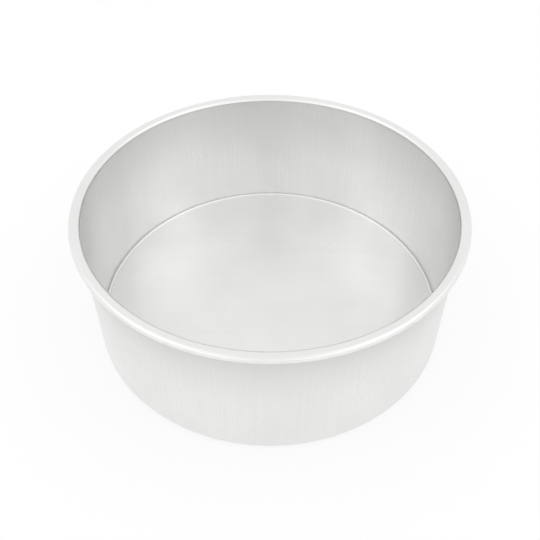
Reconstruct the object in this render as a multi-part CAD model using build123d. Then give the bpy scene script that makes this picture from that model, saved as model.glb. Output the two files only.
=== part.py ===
"""A round cake tin with a loose base, in millimetres.

The tin stands on Z = 0 and its axis is Z. It has two pieces: the wall, one round of sheet
with a rolled rim at the top and a ledge turned in at the bottom, and the base, a flat disc
that drops in from above and rests on the ledge.
"""

import os

from build123d import *

# Overall sizes
inside_diameter = 200.0
tin_height = 80.0

# Wall and ledge
wall_sheet = 1.5
ledge_reach = 9.0
ledge_inner_bend = 1.8

# Rolled rim, with the gap between its tail and the wall
rim_width = 6.0
rim_height = 3.8
rim_inner_bend = 0.7
rim_tail_gap = 0.4

# Loose base, the flat of whose underside has this play inside the ledge's bend
base_sheet = 1.0
base_play = 0.1

# Cut edges are eased by this share of the sheet, and bends are drawn as flats of this angle
eased_share = 0.3
flat_angle = 22.5

inside_radius = inside_diameter / 2
half_wall = wall_sheet / 2
base_eased = eased_share * base_sheet
base_radius = inside_radius - ledge_inner_bend - base_play + base_eased


def bend(centre, radius, start_angle, turn):
    """The points of a round bend. Its flats differ from the arc by less than a tenth."""
    arc = CenterArc(centre, radius, start_angle, turn)
    flats = round(abs(turn) / flat_angle)
    return [arc @ (i / flats) for i in range(flats + 1)]


def sheet_line(shift):
    """The wall's line in section, from the ledge's edge, up the wall and round to the rim's tail.

    The line runs a distance shift to the right of the middle of the sheet, which is outside
    the wall and inside the rolled rim.
    """
    wall_middle = inside_radius + half_wall
    ledge_bend = ledge_inner_bend + half_wall
    shoulder_bend = rim_inner_bend + half_wall
    curl_bend = rim_height / 2 - half_wall
    rim_top = tin_height - half_wall
    rim_tail = tin_height - rim_height + half_wall
    curl_middle = inside_radius + rim_width - rim_height / 2
    tail_end = inside_radius + wall_sheet + rim_tail_gap
    return [
        (inside_radius - ledge_reach, half_wall - shift),
        *bend((wall_middle - ledge_bend, half_wall + ledge_bend), ledge_bend + shift, -90, 90),
        *bend((wall_middle + shoulder_bend, rim_top - shoulder_bend), shoulder_bend - shift, 180, -90),
        *bend((curl_middle, rim_top - curl_bend), curl_bend - shift, 90, -180),
        (tail_end, rim_tail + shift),
    ]


def tin_wall():
    """One sheet from ledge to rolled rim, turned about the tin's axis."""
    outside, inside = sheet_line(half_wall), sheet_line(-half_wall)
    with BuildPart() as wall:
        with BuildSketch(Plane.XZ) as section:
            with BuildLine():
                Polyline(*outside, *reversed(inside), close=True)
            make_face()
            cut_ends = [Vector(*line[end]) for line in (outside, inside) for end in (0, -1)]
            corners = [section.vertices().sort_by_distance(point)[0] for point in cut_ends]
            chamfer(corners, eased_share * wall_sheet)
        revolve(axis=Axis.Z)
    return wall.part


def loose_base():
    """A disc that lies flat on the ledge, inside the bend between the ledge and the wall."""
    with BuildPart() as base:
        with BuildSketch(Plane.XZ) as section:
            with Locations((0, wall_sheet)):
                Rectangle(base_radius, base_sheet, align=(Align.MIN, Align.MIN))
            chamfer(section.vertices().group_by(Axis.X)[-1], base_eased)
        revolve(axis=Axis.Z)
    return base.part


pieces = {"tin_wall": tin_wall(), "loose_base": loose_base()}
os.makedirs("parts", exist_ok=True)
for name, piece in pieces.items():
    piece.label = name
    export_step(piece, f"parts/{name}.step")
    print(name, "volume", round(piece.volume), "mm3")
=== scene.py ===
# %% [markdown]
# This lesson draws a round cake tin with a loose base. The construction model is loaded first
# and stays where it is, as a fixed frame: it says how large each piece is and how the base
# lifts out. Everything after that is about looks, which are finer meshes of the two pieces,
# their satin finish, and a plain studio to see them in.

# %% Load the construction model
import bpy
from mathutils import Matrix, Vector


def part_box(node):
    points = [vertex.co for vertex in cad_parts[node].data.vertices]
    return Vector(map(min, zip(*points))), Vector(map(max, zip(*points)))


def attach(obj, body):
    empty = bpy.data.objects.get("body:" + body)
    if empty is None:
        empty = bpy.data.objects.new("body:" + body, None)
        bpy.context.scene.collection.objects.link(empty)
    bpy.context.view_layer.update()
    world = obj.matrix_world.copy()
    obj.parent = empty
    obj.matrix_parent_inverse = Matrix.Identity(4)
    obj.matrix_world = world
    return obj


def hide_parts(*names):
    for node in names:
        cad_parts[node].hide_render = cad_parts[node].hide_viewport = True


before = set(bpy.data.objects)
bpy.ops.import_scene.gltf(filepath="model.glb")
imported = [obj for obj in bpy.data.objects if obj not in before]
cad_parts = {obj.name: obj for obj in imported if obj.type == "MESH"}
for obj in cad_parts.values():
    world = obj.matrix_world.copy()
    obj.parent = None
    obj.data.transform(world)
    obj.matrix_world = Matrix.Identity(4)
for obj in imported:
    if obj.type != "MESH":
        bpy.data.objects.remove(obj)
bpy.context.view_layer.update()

# %% [markdown]
# Blender works in metres and a tin is measured in millimetres, so one millimetre gets a name.
# The large sizes are read from the construction model, because a size that is written twice
# is soon two sizes. Its round pieces are made of flats, so the smaller of the box's two widths
# is taken, and the finer piece stays inside it. The small sizes, which no box shows, are the
# bends of the sheet.

# %% Sizes of the tin
import math

import bpy
from mathutils import Vector

mm = 0.001
wall_box, base_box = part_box("tin_wall"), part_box("loose_base")
rim_radius = min(wall_box[1].x, wall_box[1].y)
tin_height = wall_box[1].z
base_radius = min(base_box[1].x, base_box[1].y)
base_underside, base_top = base_box[0].z, base_box[1].z
base_sheet = base_top - base_underside
wall_sheet = base_underside          # the base lies on the ledge, which is one sheet thick
rim_width = 6.0 * mm
rim_height = 3.8 * mm
inside_radius = rim_radius - rim_width
print("inside diameter", round(2 * inside_radius / mm, 1), "mm")
print("height", round(tin_height / mm, 1), "mm")
print("wall", round(wall_sheet / mm, 2), "mm, base", round(base_sheet / mm, 2), "mm thick")

# %% [markdown]
# A pressed tin is the same all the way round, so the whole sheet is one outline turned about
# the tin's axis. It could also be a tube with a bevel and a solidify modifier, but the rolled
# rim curls back on itself, and an outline of straight runs and true arcs says exactly where
# the metal goes. Each arc gets enough points for its edge to look round in a close view.

# %% Draw an arc of the outline
arc_step = math.radians(7.5)


def arc(centre, radius, start, turn):
    """Points of an arc in the section, from start degrees through turn degrees, ends included."""
    steps = max(2, round(abs(math.radians(turn)) / arc_step))
    angles = [math.radians(start + turn * i / steps) for i in range(steps + 1)]
    return [(centre[0] + radius * math.cos(a), centre[1] + radius * math.sin(a)) for a in angles]


print("a quarter turn has", len(arc((0, 0), 1, 0, 90)), "points")

# %% [markdown]
# The outline of the wall starts on the ledge, where the base lies. It runs out along the ledge,
# up a small step, round the inside corner, up the wall and over the rim, which is a tube of
# sheet that curls down and back towards the wall. There it turns round the sheet's cut edge
# and comes back along the other face. Cut edges are rounded a little, as tumbling leaves them.
# The step is pressed into the ledge so that the base lies flush. The construction model has
# a plain bend there, and a dark groove round the base, where the real tin shows none. What
# the real one shows is one pale line all the way round: the inside corner, which is curved
# so tightly that it picks up light from above.

# %% Outline of the wall
ledge_bend = 1.8 * mm
ledge_reach = 9.0 * mm
step_play = 0.1 * mm                 # between the base's edge and the step
step_below_base = 0.2 * mm           # the step's top edge is this far under the base's top
corner_radius = 1.4 * mm
rim_inner_bend = 0.7 * mm
rim_tail_gap = 0.4 * mm
edge_round_share = 0.3               # of the sheet's thickness, at every cut edge
edge_radius = edge_round_share * wall_sheet

ledge_edge = inside_radius - ledge_reach
ledge_bend_centre = (inside_radius - ledge_bend, wall_sheet + ledge_bend)
step_radius = base_radius + step_play
step_top = base_top - step_below_base
corner_centre = (inside_radius - corner_radius, step_top + corner_radius)
shoulder = rim_inner_bend + wall_sheet
shoulder_centre = (inside_radius + shoulder, tin_height - shoulder)
curl = rim_height / 2
curl_centre = (rim_radius - curl, tin_height - curl)
tail_edge = inside_radius + wall_sheet + rim_tail_gap
tail_low = tin_height - rim_height
tail_high = tail_low + wall_sheet
tail_round = tail_edge + edge_radius
ledge_round = ledge_edge + edge_radius
wall_outline = [
    *arc((ledge_round, wall_sheet - edge_radius), edge_radius, 180, -90),
    (step_radius, wall_sheet), (step_radius, step_top),
    *arc(corner_centre, corner_radius, -90, 90),
    *arc(shoulder_centre, shoulder, 180, -90),
    *arc(curl_centre, curl, 90, -180),
    *arc((tail_round, tail_low + edge_radius), edge_radius, -90, -90),
    *arc((tail_round, tail_high - edge_radius), edge_radius, 180, -90),
    *arc(curl_centre, curl - wall_sheet, -90, 180),
    *arc(shoulder_centre, rim_inner_bend, 90, 90),
    *arc(ledge_bend_centre, ledge_bend + wall_sheet, 0, -90),
    *arc((ledge_round, edge_radius), edge_radius, -90, -90),
]
print("wall outline", len(wall_outline), "points")

# %% [markdown]
# The base is a disc stamped from flat sheet. Stamping leaves its upper edge almost sharp and
# its lower edge rounded, so that it drops past the rim and into the step without catching.

# %% Outline of the base
lower_edge = edge_round_share * base_sheet
upper_edge = 0.1 * mm
base_outline = [
    (0.0, base_underside),
    *arc((base_radius - lower_edge, base_underside + lower_edge), lower_edge, -90, 90),
    *arc((base_radius - upper_edge, base_top - upper_edge), upper_edge, 0, 90),
    (0.0, base_top),
]
print("base outline", len(base_outline), "points")

# %% [markdown]
# Turning an outline is what a lathe does. Blender has a Screw modifier for it, but here the
# rings are made in code, because the long straight runs can then be divided on the way and
# the faces stay even squares. A point on the axis becomes one vertex and not a ring of them.

# %% Turn an outline into a mesh
ring_sides = 360
longest_run = 3.0 * mm


def divided(outline, closed):
    """The outline with its long straight runs divided, so that no face is much longer than wide."""
    points = []
    for i, start in enumerate(outline if closed else outline[:-1]):
        end = outline[(i + 1) % len(outline)]
        parts = max(1, math.ceil(math.dist(start, end) / longest_run))
        for k in range(parts):
            points.append((start[0] + (end[0] - start[0]) * k / parts,
                           start[1] + (end[1] - start[1]) * k / parts))
    return points if closed else points + [outline[-1]]


def turned(name, outline, closed):
    """A mesh object: the outline turned about Z. An open outline starts and ends on the axis."""
    vertices, rings = [], []
    for radius, height in divided(outline, closed):
        sides = ring_sides if radius > 0 else 1
        rings.append([len(vertices) + i for i in range(sides)])
        for i in range(sides):
            angle = 2 * math.pi * i / ring_sides
            vertices.append((radius * math.cos(angle), radius * math.sin(angle), height))
    faces = []
    for low, high in zip(rings, rings[1:] + rings[:1] if closed else rings[1:]):
        for i in range(ring_sides):
            j = (i + 1) % ring_sides
            corners = [low[i % len(low)], low[j % len(low)],
                       high[j % len(high)], high[i % len(high)]]
            faces.append(tuple(dict.fromkeys(corners)))      # a corner that comes twice counts once
    mesh = bpy.data.meshes.new(name)
    mesh.from_pydata(vertices, [], faces)
    mesh.polygons.foreach_set("use_smooth", [True] * len(faces))
    mesh.update()
    piece = bpy.data.objects.new(name, mesh)
    bpy.context.scene.collection.objects.link(piece)
    print(name, len(vertices), "vertices", len(faces), "faces")
    return piece


formed_wall = turned("formed_wall", wall_outline[::-1], closed=True)
base_disc = turned("base_disc", base_outline, closed=False)

# %% [markdown]
# Smooth shading averages the normals of neighbouring faces, which would round off the flat
# runs beside each small bend. A Weighted Normal modifier lets the large faces decide, so
# the flats stay flat and only the bends look bent.

# %% Keep the flats flat
for piece in (formed_wall, base_disc):
    modifier = piece.modifiers.new("flat_runs", "WEIGHTED_NORMAL")
    modifier.keep_sharp = True
    print(piece.name, "has", modifier.name)

# %% [markdown]
# Colours are written as the hex values that a paint chart or a screen gives. Blender's shaders
# work in linear light, so one function turns a hex value into what they expect. A second
# function adds a node with its settings and its links in one line, which keeps the recipe of
# each finish short enough to read.

# %% Colours and nodes


def linear(hex_colour):
    """A colour such as D9D9D6 in linear light, by the sRGB formula, with full opacity."""
    channels = [int(hex_colour[i:i + 2], 16) / 255 for i in (0, 2, 4)]
    return [c / 12.92 if c <= 0.04045 else ((c + 0.055) / 1.055) ** 2.4 for c in channels] + [1.0]


def add_node(tree, kind, inputs=(), **settings):
    """Adds a node. Inputs hold a value, or the output of another node, for a socket's name."""
    node = tree.nodes.new(kind)
    for name, value in settings.items():
        setattr(node, name, value)
    for socket, value in dict(inputs).items():
        if isinstance(value, bpy.types.NodeSocket):
            tree.links.new(value, node.inputs[socket])
        else:
            node.inputs[socket].default_value = value
    return node


print("the hex value 808080 is", round(linear("808080")[0], 3), "of white in linear light")

# %% [markdown]
# Cake tins of this kind are pressed from aluminium sheet, etched in caustic soda and then
# anodised. The etch leaves pits of a few hundredths of a millimetre all over the sheet, which
# spread every reflection into a soft satin glow. The clear anodised layer is thin and adds no
# gloss of its own, so the look is bare metal: fully metallic, a pale grey that is very
# slightly warm, and about three tenths rough. The etch also bites unevenly, in clouds a few
# centimetres across. The two pieces share this much, so it is one function, and each piece
# then gets the marks of its own tools.

# %% The etched surface
satin_colour = "F1F1F0"              # clear anodised aluminium, where it is least etched
etched_colour = "E8E8E7"             # where the etch has bitten deepest
satin_roughness, etched_roughness = 0.26, 0.35
cloud_size = 30.0 * mm
cloud_detail = 3.0                   # how many steps of finer noise a cloud has inside it
pit_size = 0.5 * mm                  # real pits are 0.03 mm, too fine to show, so drawn coarser
pit_depth = 0.02 * mm                # and deeper in proportion, so that their sides slope as much
fine_detail = 2.0                    # the same steps inside the pits, and later inside the lines


def etched_sheet(name):
    """A new metal material. Gives its tree, the place on the tin, the clouds and the pits."""
    material = bpy.data.materials.new(name)
    material.use_nodes = True
    tree = material.node_tree
    tree.nodes["Principled BSDF"].inputs["Metallic"].default_value = 1.0
    place = add_node(tree, "ShaderNodeTexCoord").outputs["Object"]
    clouds = add_node(tree, "ShaderNodeTexNoise", {"Vector": place, "Scale": 1 / cloud_size,
                                                   "Detail": cloud_detail})
    pits = add_node(tree, "ShaderNodeTexNoise", {"Vector": place, "Scale": 1 / pit_size,
                                                 "Detail": fine_detail})
    return material, tree, place, clouds.outputs["Fac"], pits.outputs["Fac"]


print("clouds", round(cloud_size / mm, 1), "mm across, pits", round(pit_size / mm, 2), "mm")

# %% [markdown]
# Three patterns decide how deep the etch has bitten at a place: the clouds, the pits and the
# tool's lines. Where it bit deeper the metal is duller and rougher. Wear undoes a little of
# that, because it polishes the tops of the pits. The pits and the lines also have height,
# which a Bump node turns into tilted normals, and these catch the light in a close view.

# %% Wear, roughness and bump
line_share = 0.35                    # lines against pits, in how deep the etch has bitten
cloud_share = 0.3                    # clouds against lines and pits together
least_bite, most_bite = 0.34, 0.66   # the mixed noise seldom leaves this range
line_depth = 0.008 * mm
rub_polish = 0.8                     # how far rubbing takes the etch back, where 1 is all the way


def finish_sheet(tree, clouds, pits, lines, rubbed):
    """Links the sheet's colour, roughness and height to its shader. Gives the colour as well."""
    fine = add_node(tree, "ShaderNodeMix", {"Factor": line_share, "A": pits, "B": lines})
    bite = add_node(tree, "ShaderNodeMix", {"Factor": cloud_share, "A": fine.outputs[0],
                                            "B": clouds})
    etch = add_node(tree, "ShaderNodeMapRange", {"Value": bite.outputs[0], "From Min": least_bite,
                                                 "From Max": most_bite})
    worn = add_node(tree, "ShaderNodeMath", {0: rubbed, 1: -rub_polish, 2: etch.outputs["Result"]},
                    operation="MULTIPLY_ADD")
    roughness = add_node(tree, "ShaderNodeMapRange", {"Value": worn.outputs[0],
                                                      "To Min": satin_roughness,
                                                      "To Max": etched_roughness}, clamp=False)
    # A Mix node has its two colours in its sockets 6 and 7, and their mixture in its output 2.
    colour = add_node(tree, "ShaderNodeMix", {"Factor": worn.outputs[0], 6: linear(satin_colour),
                                              7: linear(etched_colour)}, data_type="RGBA")
    pit_bump = add_node(tree, "ShaderNodeBump", {"Height": pits, "Distance": pit_depth})
    line_bump = add_node(tree, "ShaderNodeBump", {"Height": lines, "Distance": line_depth,
                                                  "Normal": pit_bump.outputs["Normal"]})
    shader = tree.nodes["Principled BSDF"]
    tree.links.new(colour.outputs[2], shader.inputs["Base Color"])
    tree.links.new(roughness.outputs["Result"], shader.inputs["Roughness"])
    tree.links.new(line_bump.outputs["Normal"], shader.inputs["Normal"])
    return colour.outputs[2]


most_rubbed = satin_roughness - rub_polish * (etched_roughness - satin_roughness)
print("rubbing brings the roughness down to", round(most_rubbed, 3))

# %% [markdown]
# Lines left by a tool are noise that is stretched along the tool's path. The wall was drawn
# over a punch, so its lines run up and down. The rim was rolled, so there they run round it,
# and for that the noise gets the distance from the axis in place of left and right. The
# lines of real tins are a tenth of a millimetre apart. These are several times as coarse,
# because finer ones would vanish in a picture of the whole tin.

# %% Drawn and rolled lines on the wall
line_spacing = 0.8 * mm
line_length = 70.0 * mm
rim_line_spacing = 0.5 * mm
rim_blend = 2.0 * mm                 # the height in which drawn lines give way to rolled ones


def level_and_reach(tree, place):
    """How high a place is, and how far it is from the tin's axis."""
    level = add_node(tree, "ShaderNodeSeparateXYZ", {"Vector": place})
    flat_place = add_node(tree, "ShaderNodeVectorMath", {0: place, 1: (1, 1, 0)},
                          operation="MULTIPLY")
    from_axis = add_node(tree, "ShaderNodeVectorMath", {0: flat_place.outputs[0]},
                         operation="LENGTH")
    return level.outputs["Z"], from_axis.outputs["Value"]


def straight_lines(tree, place, spacing):
    """Noise with these sizes along X, Y and Z. It makes lines along the largest of the three."""
    stretched = add_node(tree, "ShaderNodeVectorMath",
                         {0: place, 1: [1 / size for size in spacing]}, operation="MULTIPLY")
    noise = add_node(tree, "ShaderNodeTexNoise", {"Vector": stretched.outputs[0], "Scale": 1.0,
                                                  "Detail": fine_detail})
    return noise.outputs["Fac"]


wall_finish, tree, place, clouds, pits = etched_sheet("drawn_anodised_aluminium")
level, from_axis = level_and_reach(tree, place)
wall_lines = straight_lines(tree, place, (line_spacing, line_spacing, line_length))
section_place = add_node(tree, "ShaderNodeCombineXYZ", {"X": from_axis, "Y": level})
rim_lines = add_node(tree, "ShaderNodeTexNoise", {"Vector": section_place.outputs[0],
                                                  "Scale": 1 / rim_line_spacing,
                                                  "Detail": fine_detail})
on_rim = add_node(tree, "ShaderNodeMapRange", {"Value": level, "From Min": tail_low,
                                               "From Max": tail_low + rim_blend})
lines = add_node(tree, "ShaderNodeMix", {"Factor": on_rim.outputs["Result"], "A": wall_lines,
                                         "B": rim_lines.outputs["Fac"]})
print("rolled lines begin", round(tail_low / mm, 1), "mm up the wall")

# %% [markdown]
# A used tin is rubbed where it touches other things: on the ledge, where the base drops onto
# it, under the ledge, where the tin slides on a shelf, and on the outside of the rim, where
# tins knock together. Each place is a mask of height or of distance from the axis, broken up
# by noise, because wear is never even.

# %% Rubbed places on the wall
rub_patch = 6.0 * mm
patch_detail = 4.0                   # steps of finer noise, which make a patch ragged
unrubbed, well_rubbed = 0.4, 0.65    # the noise at a patch's edge, and where it is rubbed fully
touching = 0.1 * mm                  # a place this near to another thing touches it
knock_depth = 0.8 * mm               # how far in from the rim's outermost line knocks reach


def in_patches(tree, place, mask):
    """The mask of a rubbed place, broken up into patches."""
    patches = add_node(tree, "ShaderNodeTexNoise", {"Vector": place, "Scale": 1 / rub_patch,
                                                    "Detail": patch_detail})
    broken = add_node(tree, "ShaderNodeMapRange", {"Value": patches.outputs["Fac"],
                                                   "From Min": unrubbed, "From Max": well_rubbed})
    rubbed = add_node(tree, "ShaderNodeMath", {0: mask, 1: broken.outputs["Result"]},
                      operation="MULTIPLY")
    return rubbed.outputs[0]


on_ledge = add_node(tree, "ShaderNodeMath", {0: level, 1: wall_sheet, 2: touching},
                    operation="COMPARE")
underneath = add_node(tree, "ShaderNodeMath", {0: level, 1: 0.0, 2: touching},
                      operation="COMPARE")
outermost = add_node(tree, "ShaderNodeMapRange", {"Value": from_axis,
                                                  "From Min": rim_radius - knock_depth,
                                                  "From Max": rim_radius})
either = add_node(tree, "ShaderNodeMath", {0: on_ledge.outputs[0], 1: underneath.outputs[0]},
                  operation="MAXIMUM")
any_rub = add_node(tree, "ShaderNodeMath", {0: either.outputs[0], 1: outermost.outputs["Result"]},
                   operation="MAXIMUM")
rubbed = in_patches(tree, place, any_rub.outputs[0])
wall_colour = finish_sheet(tree, clouds, pits, lines.outputs[0], rubbed)
print("rubbed patches", round(rub_patch / mm, 1), "mm across")

# %% [markdown]
# The outside of the wall gets painted shade close under the rolled rim, a darker colour that
# stands for the shade the rim's overhang casts there. One picture can't tell whether that is
# the finish or only the light. It is drawn here as finish, as a guess, because a tin in use
# stays duller where no cloth quite reaches. It is darkest in the corner below the rim and
# nearly clear half way down. The mask is the height on the wall's outer face, and its cube
# makes the upper part steeper. The rim's shoulder is as far from the axis as that face is, so
# the mask ends below the shoulder.

# %% Painted shade under the rim
# the colour of the painted shade under the rim
rim_shade_colour = "D1D1CF"
rim_shade_reach = 60.0 * mm               # from the rim's underside down to where it is all clear
rim_shade_steepness = 3.0                 # the power that draws the band up towards the rim
face_play = 0.3 * mm                 # how far from the outer face a point may be and still count

outer_face = add_node(tree, "ShaderNodeMath", {0: from_axis, 1: inside_radius + wall_sheet,
                                               2: face_play}, operation="COMPARE")
under_shoulder = add_node(tree, "ShaderNodeMath", {0: level, 1: tail_high}, operation="LESS_THAN")
on_wall = add_node(tree, "ShaderNodeMath", {0: outer_face.outputs[0],
                                            1: under_shoulder.outputs[0]}, operation="MULTIPLY")
nearness = add_node(tree, "ShaderNodeMapRange", {"Value": level, "From Min": tail_low - rim_shade_reach,
                                                 "From Max": tail_low})
steeper = add_node(tree, "ShaderNodeMath", {0: nearness.outputs["Result"], 1: rim_shade_steepness},
                   operation="POWER")
# how much painted shade falls on each place under the rim
painted_rim_shade = add_node(tree, "ShaderNodeMath", {0: steeper.outputs[0], 1: on_wall.outputs[0]},
                operation="MULTIPLY")
# the wall's colour with the painted shade under the rim mixed in
rim_shaded_colour = add_node(tree, "ShaderNodeMix", {"Factor": painted_rim_shade.outputs[0], 6: wall_colour,
                                          7: linear(rim_shade_colour)}, data_type="RGBA")
tree.links.new(rim_shaded_colour.outputs[2], tree.nodes["Principled BSDF"].inputs["Base Color"])
formed_wall.data.materials.append(wall_finish)
print(wall_finish.name, len(tree.nodes), "nodes")

# %% [markdown]
# The base was stamped from flat sheet, and sheet is rolled in one direction. Its lines run
# straight across the disc from edge to edge. It is rubbed in a ring on its underside, where
# it lies on the ledge, and that ring shows only when the base is lifted out.

# %% Rolled lines and wear on the base
base_finish, tree, place, clouds, pits = etched_sheet("rolled_anodised_aluminium")
level, from_axis = level_and_reach(tree, place)
base_lines = straight_lines(tree, place, (line_length, line_spacing, line_spacing))
below = add_node(tree, "ShaderNodeMath", {0: level, 1: base_underside, 2: touching},
                 operation="COMPARE")
over_ledge = add_node(tree, "ShaderNodeMath", {0: from_axis, 1: ledge_edge},
                      operation="GREATER_THAN")
seat = add_node(tree, "ShaderNodeMath", {0: below.outputs[0], 1: over_ledge.outputs[0]},
                operation="MULTIPLY")
rubbed = in_patches(tree, place, seat.outputs[0])
finish_sheet(tree, clouds, pits, base_lines, rubbed)
base_disc.data.materials.append(base_finish)
print(base_finish.name, len(tree.nodes), "nodes")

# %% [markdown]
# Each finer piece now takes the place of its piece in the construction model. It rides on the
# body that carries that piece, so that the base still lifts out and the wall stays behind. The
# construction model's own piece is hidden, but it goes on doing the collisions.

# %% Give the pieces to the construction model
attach(formed_wall, "tin")
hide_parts("tin_wall")
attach(base_disc, "base")
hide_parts("loose_base")
print(formed_wall.name, "rides on the tin,", base_disc.name, "on the base that lifts out")

# %% [markdown]
# The tin stands on a sheet of white card that runs out of the picture. To the camera, and in
# the metal, the card glows nearly white by itself, and only about a quarter of its light comes
# from the lamps, so that the tin still lays a soft shadow on it. The card could also be lit
# until it is white, but then the metal would be lit far too strongly as well. Seen from below
# the card is clear, so that a camera under it sees the tin's underside. It lies a hair lower
# than the tin, because two faces at exactly the same height flicker.

# %% White card floor
floor_reach = 3.0                    # metres from the tin to each side
card_gap = 0.1 * mm
white, card_colour = "FFFFFF", "F5F5F5"
card_share = 0.28                    # how much of the card's light comes from the lamps
card_light = 0.96                    # how bright the lamps and the tent alone make it

floor_corners = [(x * floor_reach, y * floor_reach, -card_gap)
                 for x, y in ((-1, -1), (1, -1), (1, 1), (-1, 1))]
floor_mesh = bpy.data.meshes.new("floor")
floor_mesh.from_pydata(floor_corners, [], [(0, 1, 2, 3)])
floor = bpy.data.objects.new("floor", floor_mesh)
bpy.context.scene.collection.objects.link(floor)
card = bpy.data.materials.new("white_card")
card.use_nodes = True
tree = card.node_tree
tree.nodes.remove(tree.nodes["Principled BSDF"])
plain = add_node(tree, "ShaderNodeBsdfDiffuse", {"Color": linear(card_colour)})
lamp_lit = [card_share * channel for channel in linear(card_colour)[:3]] + [1.0]
shaded = add_node(tree, "ShaderNodeBsdfDiffuse", {"Color": lamp_lit})
glow = add_node(tree, "ShaderNodeEmission", {"Color": linear(white),
                                             "Strength": 1 - card_share * card_light})
shown = add_node(tree, "ShaderNodeAddShader", {0: shaded.outputs[0], 1: glow.outputs[0]})
ray = add_node(tree, "ShaderNodeLightPath")
seen = add_node(tree, "ShaderNodeMath", {0: ray.outputs["Is Camera Ray"],
                                         1: ray.outputs["Is Glossy Ray"]}, operation="MAXIMUM")
seen_through = add_node(tree, "ShaderNodeMath", {0: seen.outputs[0],
                                                 1: ray.outputs["Is Transmission Ray"]},
                        operation="MAXIMUM")
upper_side = add_node(tree, "ShaderNodeMixShader", {0: seen_through.outputs[0],
                                                    1: plain.outputs[0], 2: shown.outputs[0]})
from_below = add_node(tree, "ShaderNodeNewGeometry").outputs["Backfacing"]
clear = add_node(tree, "ShaderNodeBsdfTransparent")
both_sides = add_node(tree, "ShaderNodeMixShader", {0: from_below, 1: upper_side.outputs[0],
                                                    2: clear.outputs[0]})
tree.links.new(both_sides.outputs[0], tree.nodes["Material Output"].inputs["Surface"])
floor_mesh.materials.append(card)
print(card.name, 2 * floor_reach, "metres across")

# %% [markdown]
# Satin metal is shown best in a light tent, which is white all round, because the metal shows
# whatever stands about it. The world is that tent: the same soft white from everywhere. It is
# as bright as the card looks far from the lamps, so that hardly a line shows where they meet.

# %% Light tent
tent_brightness = 0.97
world = bpy.data.worlds.new("light_tent")
bpy.context.scene.world = world
world.use_nodes = True
tent = world.node_tree.nodes["Background"]
tent.inputs["Color"].default_value = linear(white)
tent.inputs["Strength"].default_value = tent_brightness
print(world.name, "at", tent_brightness, "of white")

# %% [markdown]
# A tent alone leaves the tin flat, so four softboxes shine through its cloth. Two broad ones
# stand beside the camera and draw the pale streaks on the inside of the wall, with a greyer
# gap between them. Two smaller ones hang high on the left and right. An area lamp's power
# says nothing about how bright it looks, so it is worked out from the brightness wanted.

# %% Softboxes
tent_radius = 1.0                    # metres from the tin
softboxes = [                        # name, degrees round and above, width, height, brightness
    ("front_left", 225, 34, 1.2, 0.7, 0.22),
    ("front_right", 315, 34, 1.2, 0.7, 0.22),
    ("high_left", 180, 56, 0.7, 0.7, 0.30),
    ("high_right", 0, 56, 0.7, 0.7, 0.34),
]
aim = Vector((0, 0, tin_height / 2))
for name, around, above, width, height, brightness in softboxes:
    lamp = bpy.data.lights.new(name, "AREA")
    lamp.shape = "RECTANGLE"
    lamp.size, lamp.size_y = width, height
    lamp.energy = brightness * math.pi * width * height
    softbox = bpy.data.objects.new(name, lamp)
    bpy.context.scene.collection.objects.link(softbox)
    around, above = math.radians(around), math.radians(above)
    direction = Vector((math.cos(around) * math.cos(above),
                        math.sin(around) * math.cos(above), math.sin(above)))
    softbox.location = aim + tent_radius * direction
    softbox.rotation_euler = (-direction).to_track_quat("-Z", "Y").to_euler()
    print(name, round(lamp.energy, 2), "W")

# %% [markdown]
# The camera stands where the photographer's stood. The ovals that the rim and the foot make in
# the picture say how high above the rim it is and how far away, and their sizes say how long
# the lens is. It looks a little below the middle of the rim, so that the whole tin fits. The
# Standard view shows a colour as it is written, and not as film would show it.

# %% Camera
camera_distance = 375.9 * mm         # from the middle of the rim
camera_elevation = math.radians(39.97)
camera_pitch = math.radians(45.61)   # how far it looks down
sensor_width, lens = 36.0, 46.76     # Blender takes these two in millimetres

camera_data = bpy.data.cameras.new("camera")
camera_data.sensor_width = sensor_width
camera_data.lens = lens
camera = bpy.data.objects.new("camera", camera_data)
bpy.context.scene.collection.objects.link(camera)
camera.location = (0, -camera_distance * math.cos(camera_elevation),
                   tin_height + camera_distance * math.sin(camera_elevation))
camera.rotation_euler = (math.pi / 2 - camera_pitch, 0, 0)
bpy.context.scene.camera = camera
bpy.context.scene.view_settings.view_transform = "Standard"
print("camera", [round(c / mm) for c in camera.location], "mm")
